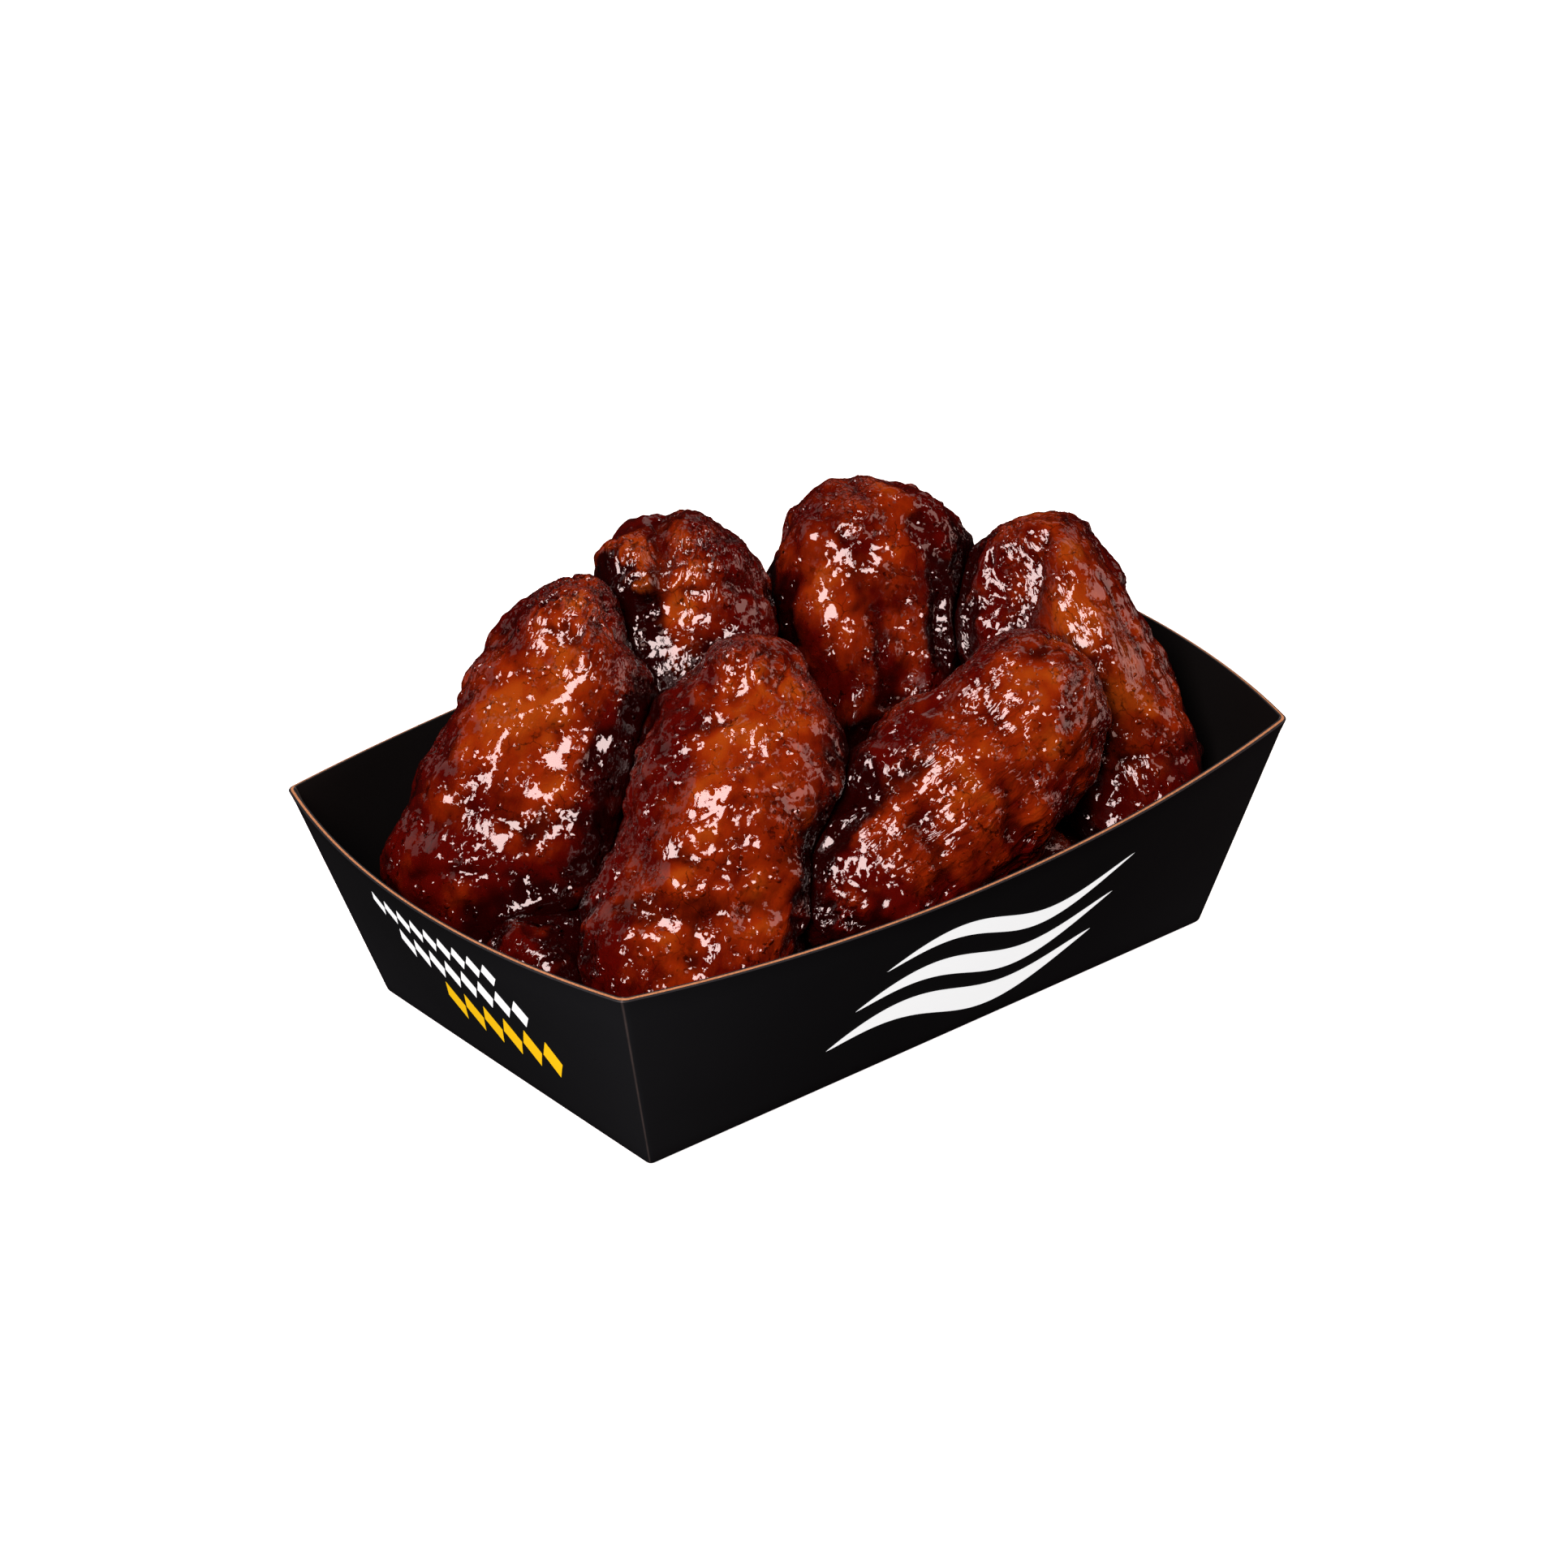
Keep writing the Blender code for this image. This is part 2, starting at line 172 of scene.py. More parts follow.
class Wire:
    """One output socket of a material's node tree."""

    def __init__(self, tree, socket):
        self.tree = tree
        self.socket = socket

    def node(self, kind, settings, values, output=0):
        """Add a node, set it up, feed its sockets and return one of its outputs."""
        made = self.tree.nodes.new(kind)
        for name, value in settings.items():
            setattr(made, name, value)
        for name, value in values.items():
            if isinstance(value, Wire):
                self.tree.links.new(value.socket, made.inputs[name])
            else:
                made.inputs[name].default_value = value
        return Wire(self.tree, made.outputs[output])

    def maths(self, operation, first, second):
        return self.node("ShaderNodeMath", {"operation": operation}, {0: first, 1: second})

    def __add__(self, other):
        return self.maths("ADD", self, other)

    def __radd__(self, other):
        return self.maths("ADD", other, self)

    def __sub__(self, other):
        return self.maths("SUBTRACT", self, other)

    def __rsub__(self, other):
        return self.maths("SUBTRACT", other, self)

    def __mul__(self, other):
        return self.maths("MULTIPLY", self, other)

    def __rmul__(self, other):
        return self.maths("MULTIPLY", other, self)

    def step(self, low, high):
        """0 below low, 1 above high and smooth between."""
        return self.node("ShaderNodeMapRange", {"interpolation_type": "SMOOTHSTEP"},
                         {"Value": self, "From Min": low, "From Max": high})

    def noise(self, size, detail=2.0, roughness=0.5):
        """Soft noise from 0 to 1 at these coordinates, with blobs of about the given size."""
        values = {"Vector": self, "Scale": 1.0 / size, "Detail": detail, "Roughness": roughness}
        return self.node("ShaderNodeTexNoise", {}, values)

    def cells(self, size, feature="F1", output="Distance"):
        """Scattered points this far apart: the distance to the nearest, or its own colour."""
        values = {"Vector": self, "Scale": 1.0 / size}
        return self.node("ShaderNodeTexVoronoi", {"feature": feature}, values, output)

    def vector(self, operation, second):
        """Vector maths with another vector."""
        return self.node("ShaderNodeVectorMath", {"operation": operation}, {0: self, 1: second})

    def times(self, factor):
        """This vector, longer or shorter."""
        return self.node("ShaderNodeVectorMath", {"operation": "SCALE"}, {0: self, "Scale": factor})

    def frayed(self, size, reach):
        """These coordinates, pushed about at random: what uses them gets ragged edges."""
        values = {"Vector": self, "Scale": 1.0 / size, "Detail": 2.0}
        push = self.node("ShaderNodeTexNoise", {}, values, "Color")
        return self.vector("ADD", push.vector("SUBTRACT", GREY).times(reach))

    def attribute(self, name, output="Fac"):
        """What the mesh stores at its points: a value, or with Vector three values."""
        return self.node("ShaderNodeAttribute", {"attribute_name": name}, {}, output)

    def blend(self, first, second):
        """The first colour where this is 0 and the second where it is 1."""
        return self.node("ShaderNodeMix", {"data_type": "RGBA"}, {0: self, 6: first, 7: second}, 2)

    def bump(self, height, distance, normal=None):
        """A normal bent by a height from 0 to 1 that stands for a distance in metres."""
        values = {"Height": height, "Distance": distance}
        if normal is not None:
            values["Normal"] = normal
        return self.node("ShaderNodeBump", {}, values)


print("a wire can", ", ".join(name for name in vars(Wire) if not name.startswith("_")))


# %% A new material
def color(red, green, blue):
    """A linear colour with its alpha."""
    return (red, green, blue, 1.0)


def new_material(name):
    """A material, its main shader and the object's coordinates in millimetres."""
    material = bpy.data.materials.new(name)
    material.use_nodes = True
    tree = material.node_tree
    shader = tree.nodes["Principled BSDF"]
    coordinates = Wire(tree, None).node("ShaderNodeTexCoord", {}, {}, "Object")
    return material, shader, coordinates.times(1.0 / MM)


def plug(shader, values):
    """Set or link the main shader's sockets by name."""
    for name, value in values.items():
        if isinstance(value, Wire):
            value.tree.links.new(value.socket, shader.inputs[name])
        else:
            shader.inputs[name].default_value = value


print("middle grey is", color(*GREY))

# %% [markdown]
# The floor
#
# A plain pale table. A backdrop that curves up behind would do as well, but the part is
# looked at from all sides, so it stands on a flat sheet that is far larger than any
# picture shows. The sheet glows, which keeps it pale and the tray's shadow faint. It
# lights nothing else, so that the glaze reflects the dark room.

# %% Floor
FLOOR_HALF = 6.0
FLOOR_DROP = 0.1 * MM     # below the tray, so that the two never flicker
FLOOR_GLOW = 0.88
floor_mesh = bpy.data.meshes.new("floor")
floor_corners = [(-1, -1), (1, -1), (1, 1), (-1, 1)]
floor_points = [(FLOOR_HALF * x, FLOOR_HALF * y, -FLOOR_DROP) for x, y in floor_corners]
floor_mesh.from_pydata(floor_points, [], [(0, 1, 2, 3)])
floor = bpy.data.objects.new("floor", floor_mesh)
bpy.context.collection.objects.link(floor)
floor_material, floor_shader, floor_place = new_material("pale_table")
plug(floor_shader, {
    "Base Color": floor_place.noise(90.0).blend(color(0.60, 0.60, 0.60), color(0.63, 0.63, 0.63)),
    "Roughness": 0.8,
    "Specular IOR Level": 0.1,
    "Emission Color": color(1.0, 1.0, 1.0),
    "Emission Strength": FLOOR_GLOW,
})
floor_material.cycles.emission_sampling = "NONE"
floor_mesh.materials.append(floor_material)
floor.visible_diffuse = False
floor.visible_glossy = False
print("floor", 2 * FLOOR_HALF, "m square")

# %% [markdown]
# The skin of a wing
#
# A wing's solid is a plain form with flat facets. Its skin could be made with a
# displacement shader, but then its outline would stay smooth and other programs would
# lose it. So the skin is a real mesh. A voxel remesh wraps the solid in small even
# faces, a little smoothing takes away the facets, and each point is then moved along its
# normal.

# %% Remesh one wing
SKIN_VOXEL = 0.55 * MM
LOW_SKIN_VOXEL = 0.75 * MM    # for the lower wings, of which little shows
SKIN_SMOOTHING = 14
SMOOTHING_SHARE = 0.5
SAME_POINT = 0.01 * MM


def evaluated_copy(piece):
    """A new mesh of a piece as its modifiers leave it."""
    graph = bpy.context.evaluated_depsgraph_get()
    return bpy.data.meshes.new_from_object(piece.evaluated_get(graph), depsgraph=graph)


def new_piece(name, mesh):
    """An object of the scene that shows a mesh."""
    piece = bpy.data.objects.new(name, mesh)
    bpy.context.collection.objects.link(piece)
    return piece


def fine_skin(node, name):
    """An evenly meshed copy of a wing's solid without its facets."""
    form = bmesh.new()
    form.from_mesh(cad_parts[node].data)
    bmesh.ops.remove_doubles(form, verts=form.verts, dist=SAME_POINT)
    mesh = bpy.data.meshes.new(name)
    form.to_mesh(mesh)
    form.free()
    rough = new_piece("rough_" + name, mesh)
    skin = rough.modifiers.new("skin", "REMESH")
    skin.mode = "VOXEL"
    skin.voxel_size = LOW_SKIN_VOXEL if node.startswith("wing_low") else SKIN_VOXEL
    smoothing = rough.modifiers.new("smoothing", "SMOOTH")
    smoothing.factor = SMOOTHING_SHARE
    smoothing.iterations = SKIN_SMOOTHING
    fine = evaluated_copy(rough)
    fine.name = name
    bpy.data.objects.remove(rough, do_unlink=True)
    return new_piece(name, fine)


def read_vectors(rows, field):
    """A vector of each row of a mesh's points or normals, as an array."""
    values = np.empty(len(rows) * 3, np.float32)
    rows.foreach_get(field, values)
    return values.reshape(-1, 3).astype(float)


print("skin voxel", SKIN_VOXEL / MM, "mm")

# %% [markdown]
# Relief
#
# Roast skin has relief at several sizes. Under it lie slow swellings of meat and
# smaller lumps. Long folds run along the wing where the skin shrank, and finer strands
# lie beside them, most of all on the flanks and towards the ends. The finest relief is
# the grain of the skin. It could be sculpted by hand. Here each kind is a noise of its
# own size, stretched along the wing or not, and all of them are heights in millimetres
# that are simply added.

# %% Noise of a given size
NOISE_SEED = 1            # without it the noise vectors would differ from run to run
SEED_STRIDE = 17.3        # how far apart two seeds read the same noise
noise.seed_set(NOISE_SEED)


def smooth_noise(points, seed, octaves=1):
    """Noise between about -1 and 1 at points given in units of its own size."""
    rows = (points + SEED_STRIDE * seed).tolist()
    if octaves == 1:
        return np.array([noise.noise(row) for row in rows])
    return np.array([noise.fractal(row, 1.0, 2.0, octaves) for row in rows])


def noise_vectors(points, seed):
    """Three noises at once, to bend other noises with."""
    return np.array([noise.noise_vector(row) for row in (points + SEED_STRIDE * seed).tolist()])


def step(values, low, high):
    """0 below low, 1 above high and smooth between."""
    part = np.clip((values - low) / (high - low), 0.0, 1.0)
    return part * part * (3 - 2 * part)


print("noise at a point:", smooth_noise(np.array([[0.2, 0.4, 0.6]]), seed=1).round(3))

# %% The directions of a wing
SHOW_SIDE = np.array([-0.50, -0.64, 0.58])    # the side on which such a heap is looked at
UP_THE_HEAP = np.array([0.4, 0.2, 1.0])       # a wing's top end points this way


def wing_axes(points):
    """A wing's middle, its long direction, its shown side and the direction across both."""
    middle = points.mean(0)
    _, _, directions = np.linalg.svd(points - middle, full_matrices=False)
    along = directions[0]
    if along @ UP_THE_HEAP < 0:
        along = -along
    shown = SHOW_SIDE - along * (SHOW_SIDE @ along)
    shown /= np.linalg.norm(shown)
    return middle, along, shown, np.cross(along, shown)


for node in WINGS:
    solid_points = read_vectors(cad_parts[node].data.vertices, "co")
    print(node, "points along", wing_axes(solid_points)[1].round(2))

# %% The parts of a wing
FLANK = (0.7, 1.4)        # turns from the shown side, in radians, over which the flank begins
BACK = (2.0, 2.7)         # and over which it becomes the back
BACK_CALM = 0.8           # how much calmer the back is than the flank
ENDS = (0.50, 0.88)       # shares of the half length over which an end begins


def wing_place(points):
    """Each point's place in its wing, its share of the length, its turn, and how rough it is."""
    middle, along, shown, across = wing_axes(points)
    away = points - middle
    lengths = away @ along
    share = lengths / np.abs(lengths).max()
    turn = np.arctan2(away @ across, away @ shown)
    local = np.stack([lengths, away @ across, away @ shown], axis=1)
    flank = step(np.abs(turn), *FLANK) * (1 - BACK_CALM * step(np.abs(turn), *BACK))
    return local, share, turn, np.maximum(flank, step(np.abs(share), *ENDS))


print("the flank begins", [round(math.degrees(turn)) for turn in FLANK], "degrees from the shown side")

# %% Folds and strands
# Millimetres: the length and width of one, its height, and the size of the patches that
# have them. bend says how much they wind.
FOLD = dict(along=15.0, across=5.5, height=0.70, patch=16.0, bend=0.5)
STRAND = dict(along=9.0, across=1.8, height=0.42, patch=12.0, bend=1.1)
FOLD_WIDTH = 0.16         # as a share of the noise's own height
STRAND_SHARPNESS = 2.2

# How wrinkled the middle of a wing is; its flanks and ends always are.
WRINKLED = {"wing_front_right": 0.42, "wing_back_left": 0.40, "wing_right": 0.34}
WRINKLED_ELSEWHERE = 0.12


def unstretched(local, kind, winding):
    """Coordinates in which a fold or a strand is as long as it is wide."""
    return local / np.array([kind["along"], kind["across"], kind["across"]]) + kind["bend"] * winding


def fold_height(points, local, rough, winding, seed):
    """Sharp folds where a noise crosses 0, in patches of the rough skin."""
    crossing = np.abs(smooth_noise(unstretched(local, FOLD, winding), seed + 2))
    where = rough * step(smooth_noise(points / FOLD["patch"], seed + 3), -0.25, 0.25)
    return -FOLD["height"] * (1 - step(crossing, 0.0, FOLD_WIDTH)) * where


def strand_height(node, points, local, rough, winding, seed):
    """Round strands between sharp valleys, and how stringy the skin is."""
    busy = step(smooth_noise(points / STRAND["patch"], seed + 4), -0.35, 0.30)
    stringy = np.maximum(WRINKLED.get(node, WRINKLED_ELSEWHERE), rough) * busy
    crossing = np.abs(smooth_noise(unstretched(local, STRAND, winding), seed + 5))
    return STRAND["height"] * (1 - STRAND_SHARPNESS * crossing) * stringy, stringy


print("folds up to", FOLD["height"], "mm deep, strands up to", STRAND["height"], "mm high")

# %% [markdown]
# Knuckles and creases
#
# Some forms belong to one wing alone: the knuckle at the end of a bone, the hollow
# beside it, the crease where two muscles meet. Noise can't place them, and modelling
# them in the solids would take many faces. So each is a line of a few points, given
# on the wing's solid. It raises or sinks the skin near it, and the same noise that
# winds the folds makes it wander.

# %% Lines of knuckles and creases
# The points of a line in millimetres, how far it reaches to each side, and its height,
# which is below 0 for a crease.
FORMS = {
    "wing_front_left": [
        (((-41, 44, 78), (-35, 29, 79)), 4.5, -0.9),
        (((-71, 32, 45), (-64, 21, 50), (-56, 15, 46), (-49, 11, 51)), 5.5, -1.0),
        (((-78, 30, 36), (-72, 19, 40), (-62, 11, 37)), 4.0, -1.1),
        (((-38, 15, 61), (-46, 13, 54)), 4.0, -1.0),
        (((-74, 19, 36),), 5.0, 0.9),
    ],
    "wing_front_middle": [
        (((-7, -24, 54),), 6.0, 1.2),
        (((-45, -19, 49), (-34, -28, 46), (-12, -19, 37)), 5.0, -1.1),
        (((-56, -14, 39), (-46, -27, 39), (-30, -33, 38)), 5.0, -1.3),
        (((-61, -14, 32),), 7.0, 1.0),
        (((-33, 2, 65), (-21, -7, 69)), 4.0, -0.9),
        (((-49, -28, 35), (-51, -29, 30)), 4.0, -1.0),
    ],
    "wing_back_left": [
        (((-1, 43, 89), (-7, 34, 85), (-12, 31, 77)), 5.0, -2.4),
        (((-8, 41, 88),), 7.0, 1.0),
        (((3, 35, 88),), 8.0, 1.0),
        (((-5, 27, 80), (4, 24, 80), (15, 25, 72)), 3.5, -1.3),
        (((-14, 40, 83), (-16, 42, 74)), 3.0, -0.9),
    ],
    "wing_back_middle": [
        (((38, 34, 85),), 8.0, 1.4),
        (((46, 24, 88),), 6.0, 1.0),
        (((42, 28, 87),), 4.0, -1.1),
        (((24, 22, 70),), 10.0, 1.3),
        (((31, 38, 77), (32, 18, 81), (32, 12, 70)), 5.0, -1.1),
        (((33, 10, 66), (31, 5, 48)), 4.0, -1.7),
        (((48, 15, 83), (47, 8, 71), (44, 4, 58)), 4.5, -1.7),
    ],
    "wing_right": [
        (((66, -6, 80), (60, -9, 71), (55, -11, 59)), 5.0, -1.7),
        (((67, -11, 79), (63, -20, 68), (68, -33, 52)), 8.0, 1.0),
        (((73, -13, 76), (74, -24, 64), (76, -34, 50)), 3.0, -0.9),
        (((61, -37, 41), (75, -41, 40)), 4.0, -1.1),
        (((56, 2, 71),), 7.0, 0.8),
        (((82, -12, 69),), 5.0, 0.8),
    ],
    "wing_front_right": [
        (((47, -38, 70), (39, -47, 63)), 4.5, -1.5),
        (((15, -21, 64), (24, -27, 69), (35, -31, 73)), 4.0, 0.9),
        (((7, -36, 59), (-1, -31, 54), (-9, -30, 49)), 5.0, -1.6),
        (((1, -40, 50), (3, -48, 36)), 5.0, -1.4),
        (((28, -49, 46),), 8.0, 0.9),
        (((21, -46, 52), (21, -49, 39)), 4.0, -1.0),
        (((12, -33, 63), (30, -41, 67)), 4.0, -0.8),
    ],
}
FORM_WANDER = 2.2
CREASE_SHARPNESS = 1.5
print("knuckles and creases:", {node: len(lines) for node, lines in FORMS.items()})


# %% Height of knuckles and creases
def near_line(points, path):
    """How far each point is from a line through the points of a path."""
    nearest = np.full(len(points), np.inf)
    for start, end in zip(path, path[1:] or path):
        run = np.subtract(end, start)
        part = np.clip((points - start) @ run / max(run @ run, 1), 0, 1)
        nearest = np.minimum(nearest, np.linalg.norm(points - start - part[:, None] * run, axis=1))
    return nearest


def form_height(node, points):
    """The height of a wing's knuckles, hollows and creases; a crease is sharp at its bottom."""
    height = np.zeros(len(points))
    for path, reach, rise in FORMS.get(node, []):
        nearness = np.clip(1 - near_line(points, path) / reach, 0, 1)
        height += rise * (nearness ** CREASE_SHARPNESS if rise < 0 else step(nearness, 0, 1))
    return height


print("the deepest crease is", -min(rise for lines in FORMS.values() for _, _, rise in lines), "mm deep")

# %% [markdown]
# Where the glaze lies thin
#
# Glaze runs off the high side of a wing and gathers at its ends, so the browned skin
# shows through on the side that faces up. A noise could place these patches. They show
# so much that each upper wing gets its own place and size instead, and the mesh carries
# the result to the material.

# %% Thin glaze
# How much skin shows through, round which turn from the shown side, and the shares of the
# half length between which the glaze thins, low end first.
BARE = {
    "wing_front_left": (1.20, -0.1, -0.28, 0.26),
    "wing_front_middle": (1.00, 0.2, -0.95, -0.32),
    "wing_front_right": (1.00, 0.1, -0.80, -0.20),
    "wing_back_left": (1.10, -0.3, -0.60, 0.20),
    "wing_back_middle": (0.65, -0.1, -0.60, 0.10),
    "wing_right": (0.85, 0.45, -0.80, -0.20),
}
BARE_ELSEWHERE = (0.40, 0.0, -1.00, -0.40)
BARE_REACH = (0.35, 1.30)     # turns over which the bare patch ends
BARE_BACK = (1.9, 2.6)        # turns over which the back's own patch begins
TOP_END = (0.60, 0.98)        # shares of the half length over which the top end darkens


def thin_glaze(node, share, turn):
    """How thin the glaze lies at each point."""
    amount, bare_turn, from_share, to_share = BARE.get(node, BARE_ELSEWHERE)
    thin = amount * (1 - 0.9 * step(np.abs(turn - bare_turn), *BARE_REACH))
    thin = np.maximum(thin, 0.8 * step(np.abs(turn), *BARE_BACK))
    return thin * ((1 - 0.4 * step(share, *TOP_END)) * step(share, from_share, to_share))


print("bare patches on", len(BARE), "wings")

# %% All relief together
SWELL = dict(size=10.0, height=1.5)
LUMP = dict(size=4.8, height=0.50)
GRAIN = dict(size=1.9, height=0.05)
WINDING = dict(size=9.0, reach=0.9)
STANDING_HEIGHT = 0.9     # millimetres between the hollows and the crests that the glaze goes by


def relief(node, points, seed):
    """The skin's height, each point's place in its wing, and the values that its glaze goes by."""
    local, share, turn, rough = wing_place(points)
    winding = WINDING["reach"] * noise_vectors(points / WINDING["size"], seed + 1)
    swell = SWELL["height"] * smooth_noise(points / SWELL["size"], seed)
    lump = LUMP["height"] * smooth_noise(points / LUMP["size"], seed + 8, octaves=2)
    lump *= 0.80 + 0.8 * rough
    fold = fold_height(points, local, rough, winding, seed)
    strand, stringy = strand_height(node, points, local, rough, winding, seed)
    grain = GRAIN["height"] * smooth_noise(points / GRAIN["size"], seed + 7, octaves=2)
    form = form_height(node, points + FORM_WANDER * winding)
    height = swell + lump + fold + strand + grain + form
    standing = (lump + fold + strand + grain + 0.5 * form) / STANDING_HEIGHT + 0.5
    glaze_values = {
        "standing": np.clip(standing, 0, 1),
        "thin": thin_glaze(node, share, turn),
        "stringy": stringy,
    }
    return height, local, glaze_values


print("swellings up to", SWELL["height"], "mm, lumps up to", LUMP["height"], "mm")

# %% [markdown]
# Wings that press on each other
#
# In a heap the wings touch, and a soft skin swells into the gap beside its neighbour.
# Relief alone would push one skin through the other. A cloth simulation could settle
# them. Here each point measures its room, the distance to the nearest other solid. It
# may use half of that, and it swells towards the neighbour where the room is small.

# %% Room to the neighbours
solids = {}
for name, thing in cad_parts.items():
    corners = [vertex.co / MM for vertex in thing.data.vertices]
    solids[name] = (corners, [tuple(face.vertices) for face in thing.data.polygons])


def neighbours_tree(node):
    """Every solid but one in a single search tree, in millimetres."""
    corners, faces = [], []
    for name, (points, polygons) in solids.items():
        if name != node:
            start = len(corners)
            corners += points
            faces += [tuple(start + corner for corner in polygon) for polygon in polygons]
    return BVHTree.FromPolygons(corners, faces)


print("solids to keep clear of:", len(solids) - 1)

# %% Grow the skins
SKIN_GROW = -0.25         # millimetres from a solid to the middle height of its skin
KEEP_CLEAR = 0.12         # half the millimetres that two skins stay apart
PRESS_SWELL = 0.9         # millimetres that a pressed skin bulges, at most up to its neighbour
PRESSED = (1.0, 4.0)      # the room over which a skin becomes free
PRESS_FLAT = 0.6          # the share of its relief that a pressed skin loses
OPEN = (0.5, 11.5)        # the room over which a skin comes out of its neighbour's shade
TOP_SLACK = 1.0           # millimetres that a skin may stand above the solids


def store(mesh, name, values):
    """Keep a value at each point of a mesh, for its material."""
    kept = mesh.attributes.new(name, "FLOAT", "POINT")
    kept.data.foreach_set("value", np.asarray(values, np.float32))


def grow_skin(node, seed):
    """The finished mesh of one wing."""
    piece = fine_skin(node, node + "_skin")
    mesh = piece.data
    points = read_vectors(mesh.vertices, "co") / MM
    normals = read_vectors(mesh.vertex_normals, "vector")
    tree = neighbours_tree(node)
    room = np.array([tree.find_nearest(Vector(row))[3] for row in points])
    height, local, glaze_values = relief(node, points, seed)
    pressed = 1 - step(room, *PRESSED)
    height = height * (1 - PRESS_FLAT * pressed) + PRESS_SWELL * pressed
    moved = np.minimum(SKIN_GROW + height, np.maximum(room / 2 - KEEP_CLEAR, 0.0))
    points = points + normals * moved[:, None]
    points[:, 2] = np.minimum(points[:, 2], cad_box[1].z / MM + TOP_SLACK)
    mesh.vertices.foreach_set("co", (points * MM).astype(np.float32).ravel())
    mesh.update()
    for name, values in glaze_values.items():
        store(mesh, name, values)
    # open feeds the painted shade beside the neighbours
    store(mesh, "open", step(room, *OPEN))
    lie = mesh.attributes.new("lie", "FLOAT_VECTOR", "POINT")
    lie.data.foreach_set("vector", local.astype(np.float32).ravel())
    mesh.shade_smooth()
    return piece


skins = {}
for place_in_row, node in enumerate(WINGS):
    skins[node] = grow_skin(node, seed=10 * place_in_row + 1)
    print(node, len(skins[node].data.polygons), "faces")
print("all skins", sum(len(skin.data.polygons) for skin in skins.values()), "faces")

# %% [markdown]
# The colour of the glaze
#
# Under a barbecue glaze the skin is browned unevenly: amber and orange where the glaze
# lies thin and maroon where it is thick. In the hollows, where a neighbour is near and in
# the valleys between the strings, shade is painted in, nearly black. One colour with a
# picture of spots would slide over the forms. Here the colours follow what the mesh
# stores, and noises of several sizes fray their edges.

# %% Glaze colours
# Sizes of noises are in millimetres. A step says over which values a mask begins.
THICK_GLAZE = color(0.038, 0.0009, 0.0003)
THIN_GLAZE = color(0.124, 0.0106, 0.0008)
BARE_SKIN = color(0.197, 0.0395, 0.0027)
# painted shade: the near black of the hollows and of the gaps beside a neighbour
SHADED = color(0.0070, 0.0002, 0.0002)
FRECKLED = color(0.0060, 0.0006, 0.0004)
# painted shade in the valleys between the strings, which are only bumps
VALLEY_SHADE = color(0.0060, 0.0003, 0.0002)
CRACKED = color(0.0050, 0.0003, 0.0002)


def browned(place, kept, blotch):
    """Maroon under thick glaze, red brown under thin glaze and amber where skin shows."""
    broad = place.noise(12.0)
    warm = 0.80 * broad + 0.40 * blotch + 0.14 * kept["standing"] + 0.34 * kept["thin"]
    tint = warm.step(0.72, 1.06).blend(THICK_GLAZE, THIN_GLAZE)
    amber = broad * 0.7 + kept["standing"] * 0.3 + kept["thin"] * 0.4
    return (amber.step(0.86, 1.08) * 0.6).blend(tint, BARE_SKIN)


def darkened(place, kept, string, ragged, tint):
    """Painted shade, nearly black, in hollows, where a neighbour is near and in the valleys between
    strings; also dark freckles and cracks.
    """
    # painted shade: darker in the hollows of the relief and where another wing or the tray is near
    shade = (1.0 - kept["standing"]) * 0.8 + (1.0 - kept["open"]) * 1.05 + place.noise(6.0, 3.0) * 0.7
    tint = shade.step(0.78, 1.45).blend(tint, SHADED)
    freckle = place.noise(1.3, 1.0).step(0.71, 0.77) * 0.5
    tint = freckle.blend(tint, FRECKLED)
    # painted shade in the valleys of the string bumps
    valley_shade = (1.0 - string.step(0.38, 0.50)) * kept["stringy"] * 0.70
    tint = valley_shade.blend(tint, VALLEY_SHADE)
    crack = 1.0 - ragged.cells(5.5, "DISTANCE_TO_EDGE").step(0.0, 0.030)
    crack = crack * place.noise(9.0, 1.0).step(0.48, 0.60)
    return (crack * 0.7).blend(tint, CRACKED)


print("the bare skin is", round(BARE_SKIN[0] / THICK_GLAZE[0], 1), "times as red as the thick glaze")

# %% [markdown]
# The shine of the glaze
#
# The shine is one sharp reflection over all of the skin. On a real wing it breaks up
# into small bright flakes, because the glaze dries in tiny flats and beads between the
# strings of the skin. These are too small to model, and a rough gloss would only smear
# the light. So the normal is tilted a little at random from flat to flat, and strings,
# grain and beads are bumps.

# %% Glaze normals
STRING_HEIGHT = 0.62 * MM
SKIN_GRAIN_HEIGHT = 0.02 * MM
BEAD_HEIGHT = 0.36 * MM


def flat_tilt(place, size, amount):
    """A random tilt for each of the scattered flats of this size."""
    return place.cells(size, output="Color").vector("SUBTRACT", GREY).times(amount)


def tilted_normal(place, kept, ragged):
    """The surface's normal with wide, middling and, in patches, sparkling small flats."""
    calm = 1.0 - 0.85 * kept["stringy"]
    sparkling = place.noise(2.2, 1.0).step(0.50, 0.57) * place.noise(8.0, 1.0).step(0.38, 0.50)
    normal = place.node("ShaderNodeNewGeometry", {}, {}, "Normal")
    normal = normal.vector("ADD", flat_tilt(ragged, 6.0, calm * 0.36))
    normal = normal.vector("ADD", flat_tilt(place.frayed(0.7, 1.1), 2.6, calm * 0.22))
    normal = normal.vector("ADD", flat_tilt(place.frayed(0.4, 0.5), 0.75, sparkling * 1.1))
    return normal.node("ShaderNodeVectorMath", {"operation": "NORMALIZE"}, {0: normal})


